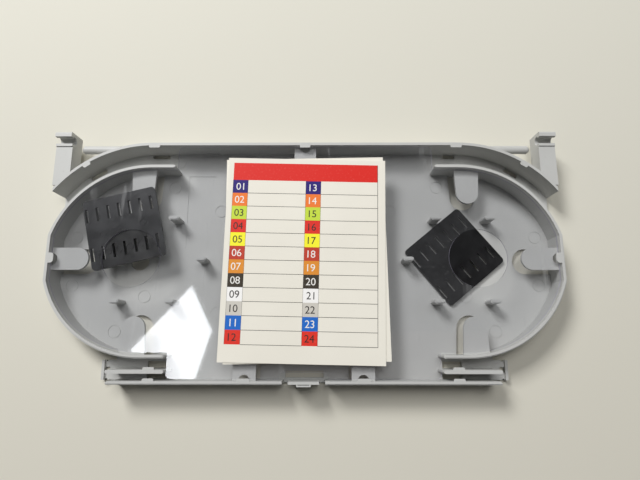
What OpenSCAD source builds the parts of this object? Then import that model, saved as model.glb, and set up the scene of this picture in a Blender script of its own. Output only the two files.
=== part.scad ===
// Fibre splice tray: one moulded tray, a clear cover, two splice holders and two label cards.
// Millimetres, +Z up. The origin lies on the underside of the floor, midway between the two
// storage loops. The tray's hooks point to +Y and its latch to -Y.

/* [Tray body] */
// Length of the tray across the flats of its end loops
tray_len = 188; // [182:1:194]
// Width of the tray over its two long outer walls
tray_wid = 88.6; // [87:0.2:92]
// Height of the rim above the table
rim_z = 11.4; // [11:0.2:14]
// Thickness of the floor
floor_t = 1.6; // [1.2:0.2:2.4]
// Thickness of the walls
wall_t = 1.2; // [1:0.1:1.5]
// Width of the small step along the outside of the rim
rim_step = 0.35; // [0.2:0.05:0.5]

/* [Storage loops] */
// Outer radius of the wall round each loop
loop_r = 38; // [37:0.2:39]
// Distance of each loop's axis from the middle of the tray
loop_x = 57.6; // [56.5:0.1:58.5]
// How far the centre of each half of a loop lies past the middle line
loop_overlap = 2.5; // [2:0.1:3]
// Length of the straight wall that ends each loop
loop_tail = 8.8; // [6:0.2:10]
// Radius of the hole through the floor at the axis of each loop
hub_hole_r = 3.5; // [2.5:0.1:4.5]
// Distance of that hole from the middle of the tray
hub_hole_x = 63; // [60:0.5:66]

/* [Fibre channels] */
// Outer radius of the curved wall of the upper channels
upper_wall_r = 46.8; // [46.2:0.1:47.4]
// Distance of the middle wall of the lower channels from the middle line
mid_wall_y = 39.3; // [38.8:0.1:39.6]
// Distance of the lower channels' outer end from the middle of the tray
lower_end_x = 68.8; // [66:0.2:70]
// Distance of the lower channels' inner end from the middle of the tray
lower_start_x = 48.5; // [46:0.5:50]
// How far the tongue at the end of the lower channels reaches out
tongue_len = 5; // [4:0.5:6]

/* [Retaining fingers] */
// Height of the top of the fingers
finger_z = 8.8; // [8:0.2:9]
// Thickness of the fingers
finger_t = 1.2; // [0.8:0.1:1.6]
// Width of the fingers at their round tip
finger_w = 8.2; // [7:0.2:9]
// Width of the loop fingers at their root
finger_root_w = 9.3; // [9:0.1:10]
// Reach of the fingers from the inside of the wall
finger_len = 13.4; // [12:0.2:15]
// Distance of the loop fingers from the middle of the tray
loop_finger_x = 61; // [60:0.5:62]
// Distance of the latch-side fingers from the middle of the tray
front_finger_x = 20.9; // [18:0.5:23]
// Margin of the mould hole in the floor round each finger
mould_gap = 0.7; // [0.4:0.1:1]

/* [Lugs and posts] */
// Thickness of the lugs under the rim
lug_t = 0.5; // [0.4:0.1:0.6]
// Reach of the cover lugs at the two ends
end_lug_reach = 1.8; // [1.4:0.1:2.2]
// Reach of the lugs over the fibre channels
lug_reach = 0.9; // [0.7:0.1:1.1]
// Height of the top of the guide posts
post_z = 9; // [8.4:0.2:9]
// Length of a guide post
post_len = 3.8; // [3:0.2:5]
// Thickness of a guide post
post_w = 1.65; // [1.2:0.05:2]

/* [Hinge] */
// Distance of the outer face of each hinge arm from the middle of the tray
arm_x = 94.3; // [94:0.1:97]
// Width of each hinge arm
arm_w = 6.15; // [5:0.05:7]
// Height of the underside of the hinge arms
arm_low_z = 4.4; // [3:0.2:5]
// Distance of the back of the hinge hooks from the middle line
hook_back_y = 47.95; // [47:0.05:49]
// Height of the top of the hinge hooks
hook_top_z = 13; // [12.6:0.2:14]
// Radius of the round seat in each hinge hook
seat_r = 1.6; // [1.4:0.05:1.8]
// Radius of the hinge pins
pin_r = 1.55; // [1.3:0.05:1.6]
// Height of the axis of the hinge pins
pin_z = 8; // [7:0.1:9]

/* [Latch] */
// Width of the notch in the wall round the latch
notch_w = 15; // [13:0.5:17]
// Width of the latch's spring plate
latch_w = 10.8; // [9:0.2:12]
// Thickness of the latch's spring plate
latch_t = 0.9; // [0.7:0.1:1.1]
// Width of the thumb tab on the latch
thumb_w = 5; // [4:0.5:7]
// Reach of the thumb tab
thumb_reach = 0.8; // [0.5:0.1:1.2]

/* [Cover] */
// Thickness of the clear cover
cover_t = 0.5; // [0.4:0.05:0.6]
// Gap between the cover's edge and the walls
cover_gap = 0.8; // [0.6:0.1:0.9]
// Radius of the finger holes in the cover
cover_hole_r = 10.6; // [9:0.2:12]
// Width of the cut-out over the latch
cover_notch_w = 17.1; // [16:0.1:19]
// Play between the cover and the lugs above it
cover_play = 0.05; // [0.02:0.01:0.1]

/* [Splice holders] */
// Length of a splice holder along its rows of slots
holder_len = 27.2; // [26.6:0.1:28]
// Width of a splice holder across its rows
holder_wid = 26.6; // [25:0.1:28]
// Thickness of a splice holder
holder_t = 1.3; // [1:0.05:1.3]
// Number of slots in each row
slot_count = 7; // [5:1:7]
// Distance between neighbouring slots
slot_pitch = 4; // [3.6:0.1:4.1]
// Length of a slot
slot_len = 5.2; // [4:0.1:6]
// Width of the slit right through the plate
slit_w = 0.55; // [0.4:0.05:0.7]
// Width of the pocket on the back of each slit
pocket_w = 1; // [0.8:0.05:1.2]

/* [Label cards] */
// Width of the label cards
card_w = 58.7; // [56:0.1:60]
// Height of the label cards
card_h = 74.8; // [72:0.1:76]
// Thickness of the label cards
card_t = 0.3; // [0.2:0.05:0.4]

/* [Hidden] */
$fn = 64;

plastic = "gainsboro";
half_len = tray_len / 2;
half_wid = tray_wid / 2;
inner_x = half_len - wall_t;          // inner face of the end flats
inner_y = half_wid - wall_t;          // inner face of the long outer walls
loop_y = loop_r - loop_overlap;       // outer face of the loops' straight walls
loop_inner_y = loop_y - wall_t;       // inner face of the loops' straight walls
tail_x = loop_x - loop_tail;          // free end of the loops' straight walls
lug_low_z = rim_z - lug_t;
cut = 1;                              // how far a cutting shape runs past a face
touch = 0.2;                          // how far moulded features run into a wall
far = 100;                            // longer than any half of the tray

mould_hole_round = 1;                 // corner radius of the round-cornered mould holes
pin_tip_x = 85.6;                     // free end of the hinge pins
pin_root_x = 71;                      // end of the hinge pins inside the curved wall
pin_y = 42.4;                         // axis of the hinge pins
seat_y = 45.1;                        // axis of the hook's round seat
seat_z = 10.2;
lip_t = hook_back_y - seat_y - seat_r; // thickness of the hook's back
cover_z = lug_low_z - cover_play - cover_t;
cover_top_z = cover_z + cover_t;

// ---- small helpers ----------------------------------------------------------------------

module both_ends() {
    children();
    mirror([1, 0, 0]) children();
}

module round_square(size, r) {
    for (x = [-1, 1], y = [-1, 1])
        translate([x * (size[0] / 2 - r), y * (size[1] / 2 - r)]) circle(r);
    square([size[0] - 2 * r, size[1]], center = true);
    square([size[0], size[1] - 2 * r], center = true);
}

// A bar in the plane that ends in a half circle at its -Y end and has its root at y = 0.
module tongue_shape(w, len) {
    translate([-w / 2, -(len - w / 2)]) square([w, len - w / 2]);
    translate([0, -(len - w / 2)]) circle(w / 2);
}

// ---- plans of the tray, seen from above --------------------------------------------------

// One end loop, inset by the given amount from the outside of its wall
module loop_plan(inset) {
    intersection() {
        translate([loop_x, loop_overlap]) circle(loop_r - inset, $fn = 128);
        translate([loop_x, -loop_overlap]) circle(loop_r - inset, $fn = 128);
        translate([0, -far]) square([half_len - inset, 2 * far]);
    }
}

// Everything inside the outer edge of the upper channel, inset as above
module upper_plan(inset) {
    intersection() {
        translate([loop_x, -loop_overlap]) circle(upper_wall_r - inset, $fn = 128);
        translate([loop_x, 0]) square([half_len - loop_x, far]);
    }
}

module floor_plan() {
    square([2 * loop_x, tray_wid], center = true);
    both_ends() {
        loop_plan(0);
        upper_plan(0);
        translate([0, -half_wid]) square([lower_end_x, half_wid - loop_inner_y]);
        translate([lower_end_x - cut, -half_wid + tongue_side]) square([cut + tongue_len, tongue_w]);
    }
}

// The wall round one loop; inset moves its outer face inwards and leaves the inner face
module loop_wall_plan(inset) {
    difference() {
        intersection() {
            loop_plan(inset);
            translate([loop_x, -far]) square([far, 2 * far]);
        }
        loop_plan(wall_t);
    }
    thick = wall_t - inset;
    end_x = tail_x + inset + thick / 2;
    for (side = [-1, 1]) translate([0, side * (loop_inner_y + thick / 2)]) {
        translate([end_x, -thick / 2]) square([loop_x - end_x, thick]);
        translate([end_x, 0]) circle(thick / 2);
    }
}

// The long wall at the back, which goes on round the upper channel
module back_wall_plan(inset) {
    translate([0, inner_y]) square([loop_x, wall_t - inset]);
    difference() {
        upper_plan(inset);
        translate([loop_x, -loop_overlap]) circle(upper_wall_r - wall_t, $fn = 128);
    }
}

// The long wall at the front, from the latch notch to the end of the lower channels
module front_wall_plan(inset) {
    start_x = notch_w / 2;
    end_x = lower_end_x - 0.4;
    tip = wall_t / 2;
    polygon([[start_x, -inner_y], [end_x - tip, -inner_y], [end_x, -inner_y - tip],
             [end_x, -half_wid + inset], [start_x, -half_wid + inset]]);
}

mid_wall_t = 1.3;
module mid_wall_plan() {
    r = mid_wall_t / 2;
    translate([lower_start_x + r, -mid_wall_y - mid_wall_t])
        square([lower_end_x - lower_start_x - mid_wall_t, mid_wall_t]);
    for (x = [lower_start_x + r, lower_end_x - r])
        translate([x, -mid_wall_y - r]) circle(r);
}

module walls_plan(inset) {
    both_ends() {
        loop_wall_plan(inset);
        back_wall_plan(inset);
        front_wall_plan(inset);
        mid_wall_plan();
    }
}

module walls() {
    linear_extrude(rim_z - rim_step) walls_plan(0);
    linear_extrude(rim_z) walls_plan(rim_step);
}

// ---- retaining fingers and the lugs above them --------------------------------------------

// The fingers stand out from the walls below the cover. Each place below gives the finger's
// root on the wall's inner face and the direction it points in, as a turn from -Y.
module at_end_finger() { translate([inner_x, 0]) rotate(-90) children(); }
module at_back_finger() { translate([0, inner_y]) children(); }
module at_front_finger() { translate([front_finger_x, -inner_y]) rotate(180) children(); }
module at_loop_fingers() {
    for (turn = [0, 180]) rotate(turn)
        translate([(turn == 0 ? 1 : -1) * loop_finger_x, loop_inner_y]) children();
}

module loop_finger_plan(margin) {
    tip_y = -(finger_len - finger_w / 2);
    polygon([[-finger_root_w / 2 - margin, touch], [finger_root_w / 2 + margin, touch],
             [finger_w / 2 + margin, tip_y], [-finger_w / 2 - margin, tip_y]]);
    translate([0, tip_y]) circle(finger_w / 2 + margin);
}

module finger_plan(margin) {
    tongue_shape(finger_w + 2 * margin, finger_len + margin);
    translate([-finger_w / 2 - margin, 0]) square([finger_w + 2 * margin, touch]);
}

finger_notch_r = 2;                   // half-round notch at the root, below each lug
module notched_finger_plan() {
    difference() {
        finger_plan(0);
        circle(finger_notch_r);
    }
}

module end_fingers() {
    at_end_finger() notched_finger_plan();
    at_loop_fingers() loop_finger_plan(0);
    at_front_finger() notched_finger_plan();
}

module finger_holes() {
    at_end_finger() finger_plan(mould_gap);
    at_loop_fingers() loop_finger_plan(mould_gap);
    at_front_finger() finger_plan(mould_gap);
}

module lug_shape(w, reach) {
    r = reach * 0.6;
    translate([-w / 2, -reach + r]) square([w, reach - r + touch]);
    translate([-w / 2 + r, -reach]) square([w - 2 * r, reach]);
    for (x = [-1, 1]) translate([x * (w / 2 - r), -reach + r]) circle(r);
}

// ---- channel lugs and the mould holes below them -------------------------------------------

channel_lug_x = 57.1;                 // lug over the straight start of the upper channel
channel_lug_w = 4.2;
arc_lug_turn = 57;                    // place of the lug on the curved wall, in degrees from +X
arc_lug_w = 3;
inner_lug_turn = 72.5;                // place of the low lug on the loop wall
inner_lug_w = 3.7;
lower_lug_x = 53.75;                  // lugs over the two lower channels
lower_lug_w = 4;

module at_upper_arc(turn, r) {
    translate([loop_x, -loop_overlap]) rotate(turn - 90) translate([0, r]) children();
}

module lugs() {
    both_ends() {
        at_end_finger() lug_shape(3.7, end_lug_reach);
        at_front_finger() lug_shape(4.6, lug_reach);
        translate([channel_lug_x, inner_y]) lug_shape(channel_lug_w, lug_reach);
        at_upper_arc(arc_lug_turn, upper_wall_r - wall_t) lug_shape(arc_lug_w, 1.2 * lug_reach);
        translate([lower_lug_x, -mid_wall_y]) rotate(180) lug_shape(lower_lug_w, lug_reach);
        translate([lower_lug_x, -inner_y]) rotate(180) lug_shape(lower_lug_w, lug_reach);
    }
    at_back_finger() lug_shape(4, lug_reach);
}

module low_lugs() {
    both_ends() at_upper_arc(inner_lug_turn, loop_r) rotate(180) lug_shape(inner_lug_w, 0.7);
}

// The mould holes under the channel lugs are round-cornered on the left, square on the right.
upper_hole_d = 1.9;                   // reach of the holes from the wall
module channel_hole(w, d, r) {
    translate([0, -d / 2]) {
        if (r > 0) round_square([w, d], r);
        else square([w, d], center = true);
    }
}

module channel_holes() {
    translate([channel_lug_x - 0.4, inner_y]) channel_hole(4.8, upper_hole_d, 0);
    mirror([1, 0, 0]) translate([channel_lug_x + 0.3, inner_y])
        channel_hole(7, upper_hole_d, mould_hole_round * 0.9);
    at_upper_arc(arc_lug_turn + 1.5, upper_wall_r - wall_t) channel_hole(5.4, 2.2, 0);
    mirror([1, 0, 0]) at_upper_arc(arc_lug_turn, upper_wall_r - wall_t)
        channel_hole(7, 2.4, mould_hole_round);
    both_ends() {
        translate([lower_lug_x + 0.1, -mid_wall_y]) rotate(180) channel_hole(7.1, 2.4, 0);
        translate([lower_lug_x + 0.1, -inner_y]) rotate(180) channel_hole(7.1, 1.7, 0);
    }
}

// ---- guide posts ----------------------------------------------------------------------------

post_in_x = loop_x - 8.6;              // posts on the inner side of each loop
post_out_x = loop_x + 11.5;           // posts on its outer side
post_mid_x = loop_x - 19.4;           // post on the middle line
post_y = 15.5;
post_places = [[post_in_x, post_y], [post_out_x, post_y], [post_in_x, -post_y],
               [post_out_x, -post_y], [post_mid_x, 0]];
post_bevel = 0.35;

module capsule(len, w) {
    square([len - w, w], center = true);
    for (x = [-1, 1]) translate([x * (len - w) / 2, 0]) circle(w / 2, $fn = 32);
}

module post() {
    linear_extrude(post_z - post_bevel) capsule(post_len, post_w);
    linear_extrude(post_z) capsule(post_len - 2 * post_bevel, post_w - 2 * post_bevel);
}

// ---- lower channel tongues --------------------------------------------------------------------

tongue_w = 7;                         // width of the tongue along Y
tongue_side = 0.9;                    // its distance from the front wall's outer face
tongue_strip = 1;                     // width of the raised strip at its end
tongue_strip_h = 1;

module tongue_strips() {
    both_ends() translate([lower_end_x + tongue_len - tongue_strip, -half_wid + tongue_side])
        square([tongue_strip, tongue_w]);
}

module tongue_cuts() {
    mid_y = -half_wid + tongue_side + tongue_w / 2;
    both_ends() {
        translate([lower_end_x + tongue_len / 2 + 0.7, mid_y]) square([1.8, 2.1], center = true);
        for (side = [-1, 1])
            translate([lower_end_x + tongue_len / 2 + 0.9, mid_y + side * tongue_w / 2])
                circle(0.5, $fn = 24);
    }
}

// ---- hinge arms, hooks and pins ---------------------------------------------------------------

arm_start_y = 27.4;                   // where the arm leaves the curved wall
lip_tip_r = 0.7;
ridge_h = 0.4;
mouth_y = seat_y - seat_r + 0.15;     // near side of the hook's mouth

// Side view of an arm and its hook: Y to the right, Z up
module arm_profile() {
    difference() {
        union() {
            translate([arm_start_y, arm_low_z])
                square([hook_back_y - arm_start_y, rim_z - arm_low_z]);
            translate([seat_y, seat_z - seat_r])
                square([hook_back_y - seat_y, hook_top_z - lip_tip_r - seat_z + seat_r]);
            translate([seat_y + seat_r * 0.6, hook_top_z - 2 * lip_tip_r])
                square([hook_back_y - seat_y - seat_r * 0.6 - lip_tip_r, 2 * lip_tip_r]);
            translate([hook_back_y - lip_tip_r, hook_top_z - lip_tip_r]) circle(lip_tip_r, $fn = 32);
            translate([mouth_y - 1, rim_z - ridge_h]) square([1, 2 * ridge_h]);
        }
        translate([seat_y, seat_z]) circle(seat_r);
        translate([mouth_y, seat_z]) square([seat_y + seat_r * 0.56 - mouth_y, far]);
    }
}

module arms() {
    both_ends() difference() {
        translate([arm_x - arm_w, 0, 0]) rotate([90, 0, 90]) linear_extrude(arm_w) arm_profile();
        linear_extrude(far, center = true) upper_plan(wall_t / 2);
    }
}

module pins() {
    both_ends() difference() {
        union() {
            translate([pin_root_x, pin_y, pin_z]) rotate([0, 90, 0])
                cylinder(r = pin_r, h = pin_tip_x - pin_r * 0.5 - pin_root_x);
            translate([pin_tip_x - pin_r * 0.5, pin_y, pin_z]) rotate([0, 90, 0])
                cylinder(r1 = pin_r, r2 = pin_r * 0.55, h = pin_r * 0.5);
        }
        linear_extrude(far, center = true) upper_plan(wall_t / 2);
    }
}

// ---- latch -------------------------------------------------------------------------------------

latch_y = half_wid - 0.1;             // outer face of the spring plate
latch_hole_w = 14;
latch_hole_d = 2.4;
thumb_low_z = 6.4;

module latch() {
    translate([-latch_w / 2, -latch_y, 0]) cube([latch_w, latch_t, rim_z]);
    difference() {
        translate([-thumb_w / 2, -latch_y - thumb_reach, thumb_low_z])
            cube([thumb_w, thumb_reach + touch, rim_z - thumb_low_z]);
        translate([-thumb_w / 2 + 0.5, -latch_y - thumb_reach + 0.45, rim_z - 0.6])
            cube([thumb_w - 1, thumb_reach, cut + 0.6]);
    }
}

module latch_hole() {
    translate([-latch_hole_w / 2, -inner_y + 0.5]) square([latch_hole_w, latch_hole_d]);
}

// ---- shallow marks in the floor -------------------------------------------------------------------

mark_depth = 0.15;
mark_w = 0.25;
mark_r = 2.4;
marks = [[88, 9.2], [88, -9.2], [-88, 9.2], [-88, -9.2], [-49.8, 39.7], [51.1, 29.2], [-51.1, 29.2],
         [32.7, 19.6], [-32.7, 19.6], [60.4, -13.4], [-60.4, -13.4], [70.6, -26.3], [-70.6, -26.3],
         [-51, -29.3], [-42.5, -38], [-32.8, -19.6]];

module floor_marks() {
    translate([0, 0, floor_t - mark_depth]) linear_extrude(cut) {
        for (p = marks) translate(p) difference() {
            circle(mark_r, $fn = 32);
            circle(mark_r - mark_w, $fn = 32);
        }
        translate([-40.6, 19.45]) square([10.6, 28.9], center = true);
    }
}

// ---- the pieces --------------------------------------------------------------------------------------

module tray() {
    color(plastic) {
        difference() {
            linear_extrude(floor_t) floor_plan();
            translate([0, 0, -cut]) linear_extrude(floor_t + 2 * cut) {
                both_ends() finger_holes();
                at_back_finger() finger_plan(mould_gap);
                channel_holes();
                latch_hole();
                tongue_cuts();
                both_ends() translate([hub_hole_x, 0]) circle(hub_hole_r);
                translate([-notch_w / 2, -half_wid - cut]) square([notch_w, cut + 0.05]);
            }
            floor_marks();
        }
        walls();
        translate([0, 0, finger_z - finger_t]) linear_extrude(finger_t) {
            both_ends() end_fingers();
            at_back_finger() notched_finger_plan();
        }
        translate([0, 0, lug_low_z]) linear_extrude(lug_t) lugs();
        translate([0, 0, 6]) linear_extrude(lug_t) low_lugs();
        both_ends() for (p = post_places) translate(p) post();
        linear_extrude(floor_t + tongue_strip_h) tongue_strips();
        arms();
        pins();
        latch();
    }
}

cover_corner_r = 1.6;
cover_side_x = tail_x - 1.1;          // side edge of the cover beyond the loops' straight walls
cover_front_y = inner_y - 0.7;        // its front and back edges
cover_notch_y = 40.2;

module cover_plan() {
    difference() {
        union() {
            round_square([2 * cover_side_x, 2 * cover_front_y], cover_corner_r);
            square([2 * loop_x, 2 * (loop_inner_y - cover_gap)], center = true);
            both_ends() loop_plan(wall_t + cover_gap);
        }
        both_ends() translate([hub_hole_x, 0]) circle(cover_hole_r, $fn = 96);
        translate([0, -cover_notch_y - far / 2])
            round_square([cover_notch_w, far], 1.5);
    }
}

module cover() {
    color("aliceblue", 0.35)
        translate([0, 0, cover_z]) linear_extrude(cover_t) cover_plan();
}

// A splice holder lies in its own frame with its pocket face up and its centre at the origin.
holder_corner_r = 1.4;
row_y = 7.45;                         // distance of each row of slots from the middle
wide_margin = 2.2;                    // distance of the last slot from the plate's edge
pocket_depth = 0.6;
peg_mark_r = 1.2;
peg_mark_depth = 0.12;

function slot_x(i) = holder_len / 2 - wide_margin - (slot_count - 1 - i) * slot_pitch;

module peg_mark(x, y) {
    translate([x, y, holder_t - peg_mark_depth]) linear_extrude(cut) difference() {
        circle(peg_mark_r, $fn = 24);
        circle(peg_mark_r - 0.2, $fn = 24);
    }
}

module splice_holder() {
    difference() {
        linear_extrude(holder_t) round_square([holder_len, holder_wid], holder_corner_r);
        for (i = [0 : slot_count - 1], side = [-1, 1]) translate([slot_x(i), side * row_y, 0]) {
            translate([-slit_w / 2, -slot_len / 2, -cut]) cube([slit_w, slot_len, holder_t + 2 * cut]);
            translate([-pocket_w / 2, -slot_len / 2, holder_t - pocket_depth])
                cube([pocket_w, slot_len, pocket_depth + cut]);
        }
        for (i = [0 : slot_count - 2]) peg_mark(slot_x(i) + slot_pitch / 2, -row_y);
        for (side = [-1, 1]) peg_mark(side * slot_pitch * 1.9, side * 0.6);
    }
}

// The left holder lies across a guide post and a finger, pressed flat by the cover.
left_turn = 13.5;
left_shift = [2.4, -4.3];             // from the post to the middle of the plate

module splice_holder_left() {
    color("dimgray") translate([-post_out_x + left_shift[0], post_y + left_shift[1], post_z])
        rotate(left_turn) splice_holder();
}

// The right holder lies upside down on the floor, pushed into the corner between two posts.
right_turn = 39.3;
row_dir = [cos(right_turn), sin(right_turn)];
side_dir = [-sin(right_turn), cos(right_turn)];
post_bar = (post_len - post_w) / 2;   // half of a post's straight part
row_gap = 0.1;                        // clearance to the post at the end of the rows
side_gap = 0.45;                      // clearance to the post beside the rows
right_row = post_mid_x * row_dir[0] + post_bar * row_dir[0] + post_w / 2
    + row_gap + holder_len / 2;
right_side = [post_in_x, post_y] * side_dir + post_bar * side_dir[0] - post_w / 2
    - side_gap - holder_wid / 2;

module splice_holder_right() {
    place = right_row * row_dir + right_side * side_dir;
    color("dimgray") translate([place[0], place[1], floor_t + holder_t])
        rotate(right_turn) mirror([0, 0, 1]) mirror([0, 1, 0]) splice_holder();
}

module card() {
    linear_extrude(card_t) square([card_w, card_h], center = true);
}

module label_card_under() {
    color("whitesmoke") translate([0.6, 0.4, cover_top_z]) rotate(1) card();
}

module label_card() {
    color("white") translate([0, 0, cover_top_z + card_t]) rotate(-1.2) card();
}

tray();
cover();
splice_holder_left();
splice_holder_right();
label_card_under();
label_card();
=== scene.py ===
"""Looks for a fibre splice tray with its clear cover, splice holders and number cards."""

import math

import bpy
from mathutils import Matrix, Vector


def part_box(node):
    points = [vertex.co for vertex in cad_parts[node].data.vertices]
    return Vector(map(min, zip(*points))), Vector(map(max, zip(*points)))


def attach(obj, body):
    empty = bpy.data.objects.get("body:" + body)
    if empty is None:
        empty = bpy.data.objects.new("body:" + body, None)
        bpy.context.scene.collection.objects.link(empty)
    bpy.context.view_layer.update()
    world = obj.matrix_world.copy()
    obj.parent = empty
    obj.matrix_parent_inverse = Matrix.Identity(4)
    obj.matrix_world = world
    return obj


MM = 0.001
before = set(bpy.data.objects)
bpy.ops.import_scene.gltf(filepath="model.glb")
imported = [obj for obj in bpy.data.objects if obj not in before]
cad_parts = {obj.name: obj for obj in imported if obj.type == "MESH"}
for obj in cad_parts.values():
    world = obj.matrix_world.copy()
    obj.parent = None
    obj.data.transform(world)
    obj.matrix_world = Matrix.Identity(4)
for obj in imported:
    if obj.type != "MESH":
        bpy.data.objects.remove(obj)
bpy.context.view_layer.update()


# ---- camera -----------------------------------------------------------------------------
# A hand-held phone camera just above the tray, a little towards the latch side. It looks
# almost straight down, tipped towards the hinge hooks.

LENS_FOCUS = 27.06
SENSOR_WIDTH = 36.0
CAMERA_PLACE = Vector((6.42, -27.8, 183.0)) * MM
CAMERA_TIP = 11.29
CAMERA_LEAN = 0.24
CAMERA_TURN = 0.05

camera = bpy.data.objects.new("camera", bpy.data.cameras.new("camera"))
bpy.context.collection.objects.link(camera)
camera.location = CAMERA_PLACE
camera.rotation_euler = [math.radians(a) for a in (CAMERA_TIP, CAMERA_LEAN, CAMERA_TURN)]
camera.data.lens = LENS_FOCUS
camera.data.sensor_width = SENSOR_WIDTH
camera.data.clip_start = 0.01
bpy.context.scene.camera = camera


# ---- tray -------------------------------------------------------------------------------
# One injection moulding in light grey plastic: satin, slightly mottled where the melt
# flowed, with fine dust. Its solid gives the form, so only a finish is added.


class Value:
    """A number or colour that changes over a surface. Sums and products add Math nodes."""

    def __init__(self, tree, socket):
        self.tree = tree
        self.socket = socket

    def math(self, operation, other=0.0, swap=False):
        node = self.tree.nodes.new("ShaderNodeMath")
        node.operation = operation
        for slot, term in zip(node.inputs, (other, self) if swap else (self, other)):
            feed(self.tree, slot, term)
        return Value(self.tree, node.outputs[0])

    def __add__(self, other):
        return self.math("ADD", other)

    __radd__ = __add__

    def __mul__(self, other):
        return self.math("MULTIPLY", other)

    __rmul__ = __mul__

    def __sub__(self, other):
        return self.math("SUBTRACT", other)

    def __rsub__(self, other):
        return self.math("SUBTRACT", other, swap=True)

    def __lt__(self, other):
        return self.math("LESS_THAN", other)

    def clamp(self):
        return self.math("MINIMUM", 1.0).math("MAXIMUM", 0.0)


def feed(tree, slot, term):
    """Links a Value into a node's input, or sets the input to a plain number or colour."""
    if isinstance(term, Value):
        tree.links.new(term.socket, slot)
    elif isinstance(term, (tuple, list)) and len(term) == 3 and slot.type == "RGBA":
        slot.default_value = (*term, 1.0)
    else:
        slot.default_value = term


class Finish:
    """A material under construction, with one Principled shader."""

    def __init__(self, name):
        self.material = bpy.data.materials.new(name)
        self.material.use_nodes = True
        self.tree = self.material.node_tree
        self.tree.nodes.clear()
        self.output = self.tree.nodes.new("ShaderNodeOutputMaterial")
        self.shader = self.tree.nodes.new("ShaderNodeBsdfPrincipled")
        self.tree.links.new(self.shader.outputs[0], self.output.inputs[0])

    def node(self, kind, settings=None, sockets=None, out=0):
        """Adds a node, sets its settings first and then its sockets, and gives one output."""
        made = self.tree.nodes.new("ShaderNode" + kind)
        for key, value in (settings or {}).items():
            if key == "stops":
                while len(made.color_ramp.elements) < len(value):
                    made.color_ramp.elements.new(0.5)
                for element, (place, grey) in zip(made.color_ramp.elements, value):
                    element.position = place
                    element.color = (grey, grey, grey, 1.0)
            else:
                setattr(made, key, value)
        for key, value in (sockets or {}).items():
            feed(self.tree, made.inputs[key], value)
        return Value(self.tree, made.outputs[out])

    def place(self):
        """A point's place on the object, in metres."""
        return self.node("TexCoord", out="Object")

    def noise(self, scale, detail=2.0, rough=0.5, stretch=None):
        where = self.place()
        if stretch:
            where = self.node("Mapping", sockets={"Vector": where, "Scale": stretch})
        return self.node(
            "TexNoise",
            sockets={"Vector": where, "Scale": scale, "Detail": detail, "Roughness": rough},
        )

    def ramp(self, value, *stops):
        return self.node("ValToRGB", {"stops": stops}, {"Fac": value})

    def blend(self, factor, first, second):
        """A colour between two others."""
        made = self.tree.nodes.new("ShaderNodeMix")
        made.data_type = "RGBA"
        feed(self.tree, made.inputs["Factor"], factor)
        feed(self.tree, made.inputs["A"], first)
        feed(self.tree, made.inputs["B"], second)
        return Value(self.tree, made.outputs["Result"])

    def bump(self, height, strength, distance):
        return self.node(
            "Bump", sockets={"Height": height, "Strength": strength, "Distance": distance}
        )

    def set(self, **sockets):
        for key, value in sockets.items():
            feed(self.tree, self.shader.inputs[key.replace("_", " ")], value)
        return self.material


def dress(node, material):
    """Gives a CAD node's own mesh a finish."""
    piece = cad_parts[node]
    piece.data.materials.clear()
    piece.data.materials.append(material)
    return piece


def moulded_grey():
    finish = Finish("moulded_grey")
    flow = finish.ramp(finish.noise(38.0, 3.0), (0.35, 0.0), (0.65, 1.0))
    dust = finish.ramp(finish.noise(900.0, 4.0, 0.65), (0.62, 0.0), (0.74, 1.0))
    colour = finish.blend(flow, (0.49, 0.49, 0.47), (0.53, 0.53, 0.51))
    colour = finish.blend(dust * 0.18, colour, (0.30, 0.29, 0.26))
    grain = finish.noise(2600.0, 2.0)
    return finish.set(
        Base_Color=colour,
        Roughness=0.40 + 0.10 * flow + 0.1 * dust,
        Normal=finish.bump(grain, 0.10, 0.00005),
    )


dress("tray", moulded_grey())


# ---- cover ------------------------------------------------------------------------------
# A clear plastic sheet, cut to fit inside the walls. Its outer faces shine, its cut edge carries a
# painted pale violet glint for the light caught in it, and use has left it hazy, dusty and finely
# scratched.


def clear_sheet():
    finish = Finish("clear_sheet")
    haze = finish.ramp(finish.noise(26.0, 4.0, 0.6), (0.3, 0.0), (0.75, 1.0))
    dust = finish.ramp(finish.noise(1100.0, 3.0, 0.6), (0.66, 0.0), (0.74, 1.0))
    scuffs = finish.ramp(
        finish.noise(240.0, 3.0, 0.6, stretch=(1.0, 0.12, 1.0)), (0.63, 0.0), (0.70, 1.0)
    )
    facing = finish.node("NewGeometry", out="Normal")
    normal_z = finish.node("SeparateXYZ", sockets={"Vector": facing}, out="Z")
    # Painted glint: the sheet's side faces get a partly opaque pale violet that stands in for
    # light caught in the cut edge.
    painted_edge_glint = normal_z.math("ABSOLUTE") < 0.5
    front = 1.0 - finish.node("NewGeometry", out="Backfacing")
    mirror = finish.node("Fresnel", sockets={"IOR": 1.5}) * front * 2.0
    cloud = 0.002 + 0.012 * haze + 0.10 * dust + 0.07 * scuffs
    colour = finish.blend(painted_edge_glint, (0.80, 0.80, 0.80), (0.62, 0.58, 0.74))
    finish.set(Base_Color=colour, Roughness=0.5)
    clear = finish.node("BsdfTransparent", sockets={"Color": (0.955, 0.957, 0.965)})
    gloss = finish.node("BsdfGlossy", sockets={"Color": (1.0, 1.0, 1.0), "Roughness": 0.04})
    body = finish.node("MixShader", sockets={0: (cloud + painted_edge_glint * 0.6).clamp(), 1: clear,
                                             2: Value(finish.tree, finish.shader.outputs[0])})
    sheet = finish.node("MixShader", sockets={0: mirror.clamp(), 1: body, 2: gloss})
    finish.tree.links.new(sheet.socket, finish.output.inputs[0])
    return finish.material


dress("cover", clear_sheet())


# ---- splice holders ---------------------------------------------------------------------
# Two loose plates moulded in black plastic, with a faint sheen, rub marks and some dust.


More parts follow.
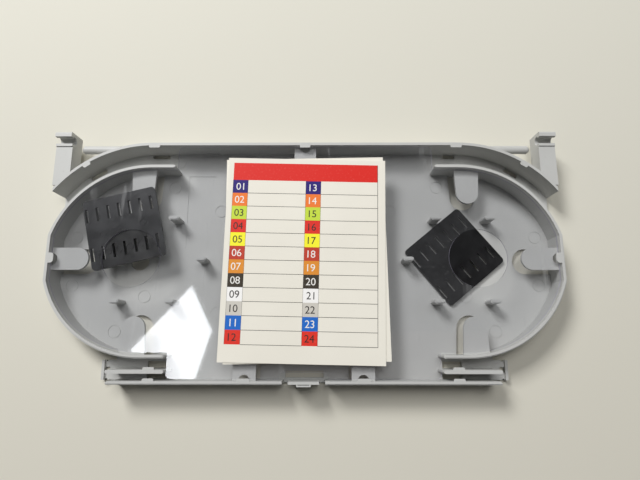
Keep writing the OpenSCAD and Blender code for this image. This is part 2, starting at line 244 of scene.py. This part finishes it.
def moulded_black():
    finish = Finish("moulded_black")
    rub = finish.ramp(finish.noise(180.0, 4.0, 0.6), (0.4, 0.0), (0.7, 1.0))
    dust = finish.ramp(finish.noise(2000.0, 3.0, 0.6), (0.66, 0.0), (0.78, 1.0))
    colour = finish.blend(rub, (0.007, 0.007, 0.0075), (0.014, 0.014, 0.015))
    colour = finish.blend(dust * 0.06, colour, (0.30, 0.29, 0.27))
    return finish.set(
        Base_Color=colour,
        Roughness=0.30 + 0.12 * rub,
        Normal=finish.bump(finish.noise(1500.0, 3.0), 0.15, 0.00005),
    )


black = moulded_black()
for side in ("left", "right"):
    dress(f"splice_holder_{side}", black)


# ---- number cards -----------------------------------------------------------------------
# Two printed cards of stiff cream paper lie on the cover, one almost hidden by the other.
# The print is a red heading bar and two columns of twelve numbered colour cells with rules.

CARD_SIZE = (59.0, 75.0)
CARD_TURN = -1.2
TABLE_LEFT = 2.25
TABLE_RIGHT = 56.1
HEADING_TOP = 2.0
ROWS_TOP = 8.7
ROW_PITCH = 5.0
ROWS = 12
CELL_WIDTH = 5.6
COLUMNS = (TABLE_LEFT, 29.35)
RULE_WIDTH = 0.16
NUMBER_HEIGHT = 2.75
CAPITAL_SHARE = 0.729
NUMBER_SHIFT = -0.1
INK_LIFT = 0.015 * MM

RED = (0.70, 0.012, 0.004)
WHITE = (0.86, 0.84, 0.79)
DARK = (0.022, 0.017, 0.014)
CELLS = (
    ((0.012, 0.002, 0.16), WHITE),
    ((0.85, 0.19, 0.022), WHITE),
    ((0.55, 0.70, 0.045), DARK),
    ((0.72, 0.018, 0.008), DARK),
    ((0.93, 0.87, 0.020), DARK),
    ((0.50, 0.040, 0.014), WHITE),
    ((0.72, 0.26, 0.020), WHITE),
    ((0.035, 0.026, 0.014), WHITE),
    ((0.90, 0.885, 0.86), DARK),
    ((0.60, 0.57, 0.51), DARK),
    ((0.004, 0.13, 0.54), WHITE),
    ((0.72, 0.025, 0.010), DARK),
)


def card_paper():
    finish = Finish("card_paper")
    fibre = finish.noise(700.0, 5.0, 0.7)
    tone = finish.ramp(finish.noise(45.0, 3.0), (0.3, 0.0), (0.7, 1.0))
    colour = finish.blend(tone, (0.79, 0.755, 0.66), (0.83, 0.795, 0.70))
    fleck = finish.ramp(fibre, (0.60, 0.0), (0.75, 1.0))
    colour = finish.blend(fleck * 0.12, colour, (0.5, 0.47, 0.41))
    return finish.set(
        Base_Color=colour,
        Roughness=0.55 + 0.15 * tone,
        Normal=finish.bump(fibre, 0.12, 0.00008),
    )


def card_ink():
    finish = Finish("card_ink")
    printed = finish.node("Attribute", {"attribute_name": "ink"}, out="Color")
    fleck = finish.ramp(finish.noise(1400.0, 3.0, 0.6), (0.58, 0.0), (0.75, 1.0))
    colour = finish.blend(fleck * 0.08, printed, (0.80, 0.78, 0.72))
    return finish.set(Base_Color=colour, Roughness=0.62 + 0.1 * fleck)


def on_card(x, y, lift):
    """A place on the top card, from its top left corner, in the row frame."""
    low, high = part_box("label_card")
    middle = (Vector(low) + Vector(high)) / 2
    spot = Vector((x - CARD_SIZE[0] / 2, CARD_SIZE[1] / 2 - y, 0.0)) * MM
    spot = Matrix.Rotation(math.radians(CARD_TURN), 3, "Z") @ spot
    return Vector((middle.x + spot.x, middle.y + spot.y, high[2] + lift * INK_LIFT))


class Print:
    """One layer of ink on the card, with its own colour on each face."""

    def __init__(self, name, lift):
        self.name = name
        self.lift = lift
        self.points = []
        self.faces = []
        self.inks = []

    def polygon(self, corners, ink):
        start = len(self.points)
        self.points += [on_card(x, y, self.lift) for x, y in corners]
        self.faces.append(range(start, start + len(corners)))
        self.inks.append(ink)

    def field(self, left, top, right, bottom, ink):
        self.polygon(((left, bottom), (right, bottom), (right, top), (left, top)), ink)

    def number(self, text, centre_x, centre_y, ink):
        curve = bpy.data.curves.new("number", "FONT")
        curve.body = text
        curve.size = NUMBER_HEIGHT / CAPITAL_SHARE
        curve.space_character = 0.98
        holder = bpy.data.objects.new("number", curve)
        shape = bpy.data.meshes.new_from_object(holder)
        xs = [v.co.x for v in shape.vertices]
        ys = [v.co.y for v in shape.vertices]
        shift_x = centre_x - (min(xs) + max(xs)) / 2
        shift_y = centre_y + (min(ys) + max(ys)) / 2
        for face in shape.polygons:
            corners = [shape.vertices[i].co for i in face.vertices]
            self.polygon([(shift_x + c.x, shift_y - c.y) for c in corners], ink)
        bpy.data.objects.remove(holder)
        bpy.data.curves.remove(curve)
        bpy.data.meshes.remove(shape)

    def piece(self, material):
        mesh = bpy.data.meshes.new(self.name)
        mesh.from_pydata(self.points, [], self.faces)
        layer = mesh.color_attributes.new("ink", "FLOAT_COLOR", "CORNER")
        for face, ink in zip(mesh.polygons, self.inks):
            for corner in face.loop_indices:
                layer.data[corner].color = (*ink, 1.0)
        mesh.materials.append(material)
        piece = bpy.data.objects.new(self.name, mesh)
        bpy.context.collection.objects.link(piece)
        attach(piece, "root")
        return piece


paper = card_paper()
for node in ("label_card", "label_card_under"):
    dress(node, paper)

ink = card_ink()
fields = Print("printed_fields", 1)
rules = Print("printed_rules", 2)
numbers = Print("printed_numbers", 3)
table_bottom = ROWS_TOP + ROWS * ROW_PITCH
half_rule = RULE_WIDTH / 2
fields.field(TABLE_LEFT, HEADING_TOP, TABLE_RIGHT, ROWS_TOP, RED)
for column, left in enumerate(COLUMNS):
    for row, (cell_ink, number_ink) in enumerate(CELLS):
        top = ROWS_TOP + row * ROW_PITCH
        fields.field(left, top, left + CELL_WIDTH, top + ROW_PITCH, cell_ink)
        middle_x = left + CELL_WIDTH / 2 + NUMBER_SHIFT
        numbers.number(f"{column * ROWS + row + 1:02d}", middle_x, top + ROW_PITCH / 2, number_ink)
    for x in (left, left + CELL_WIDTH):
        rules.field(x - half_rule / 2, ROWS_TOP, x + half_rule / 2, table_bottom, DARK)
    right = (*COLUMNS, TABLE_RIGHT)[column + 1]
    for row in range(1, ROWS + 1):
        y = ROWS_TOP + row * ROW_PITCH
        rules.field(left + CELL_WIDTH, y - half_rule, right, y + half_rule, DARK)
rules.field(TABLE_RIGHT - RULE_WIDTH, HEADING_TOP, TABLE_RIGHT, table_bottom + half_rule, DARK)
for layer in (fields, rules, numbers):
    layer.piece(ink)


# ---- stage: table, light and surroundings -----------------------------------------------
# A pale matt table top with painted shade that darkens it towards the latch side, one soft window
# light from the hinge side and left, and a second lamp overhead. A bright pane and a dim wall show
# only as
# reflections in what shines.

TABLE_COLOUR = (0.70, 0.685, 0.60)
# Colour of the painted shade on the table's latch side.
TABLE_PAINTED_SHADE = (0.60, 0.56, 0.47)
TABLE_SIZE = 1.6
TABLE_DROP = -0.00002

bpy.ops.mesh.primitive_plane_add(size=TABLE_SIZE, location=(0, 0, TABLE_DROP))
table = bpy.context.object
table.name = "table"
top = Finish("table_top")
along = top.node("SeparateXYZ", sockets={"Vector": top.place()}, out="Y")
# Painted shade: the table top darkens towards the latch side (negative y).
painted_shade = (0.35 - 1.6 * along).clamp()
top_colour = top.blend(painted_shade, TABLE_COLOUR, TABLE_PAINTED_SHADE)
table.data.materials.append(top.set(Base_Color=top_colour, Roughness=0.8))


def lamp(name, place, size, watts):
    """A soft rectangular light that points at the middle of the tray."""
    light = bpy.data.objects.new(name, bpy.data.lights.new(name, "AREA"))
    bpy.context.collection.objects.link(light)
    light.data.shape = "RECTANGLE"
    light.data.size, light.data.size_y = size
    light.data.energy = watts
    light.location = place
    aim = -Vector(place)
    light.rotation_euler = aim.to_track_quat("-Z", "Y").to_euler()
    return light


lamp("window", (-0.50, 0.72, 0.85), (0.40, 0.35), 12.5)
overhead = lamp("overhead", (0.12, 0.40, 1.2), (0.6, 0.5), 6.5)
overhead.visible_glossy = False


def glow(name, colour, strength):
    """A finish that gives light and reflects none."""
    finish = Finish(name)
    return finish.set(
        Base_Color=(0.0, 0.0, 0.0), Emission_Color=colour, Emission_Strength=strength
    )


def reflected(name, corners, height, material):
    """A shape overhead that the shiny faces mirror and nothing else sees."""
    mesh = bpy.data.meshes.new(name)
    mesh.from_pydata([(x, y, height) for x, y in corners], [], [range(len(corners))])
    mesh.materials.append(material)
    shape = bpy.data.objects.new(name, mesh)
    bpy.context.collection.objects.link(shape)
    shape.visible_camera = shape.visible_diffuse = False
    shape.visible_transmission = shape.visible_shadow = False


PANE_HEIGHT = 0.60
PANE = ((-0.20, 0.05), (-0.165, -0.02), (-0.19, -0.10), (-0.24, -0.10), (-0.29, -0.05))
reflected("pane", PANE, PANE_HEIGHT, glow("pane_glow", (0.95, 0.97, 1.0), 9.0))
WALL_HEIGHT = 0.62
WALL = ((-0.30, -0.35), (0.60, -0.35), (0.60, -0.02), (-0.14, -0.02))
reflected("far_wall", WALL, WALL_HEIGHT, glow("far_wall_glow", (0.30, 0.22, 0.18), 0.4))

world = bpy.data.worlds.new("room")
bpy.context.scene.world = world
world.use_nodes = True
world.node_tree.nodes["Background"].inputs["Color"].default_value = (0.92, 0.95, 1.0, 1.0)
world.node_tree.nodes["Background"].inputs["Strength"].default_value = 0.06

bpy.context.scene.view_settings.view_transform = "Standard"
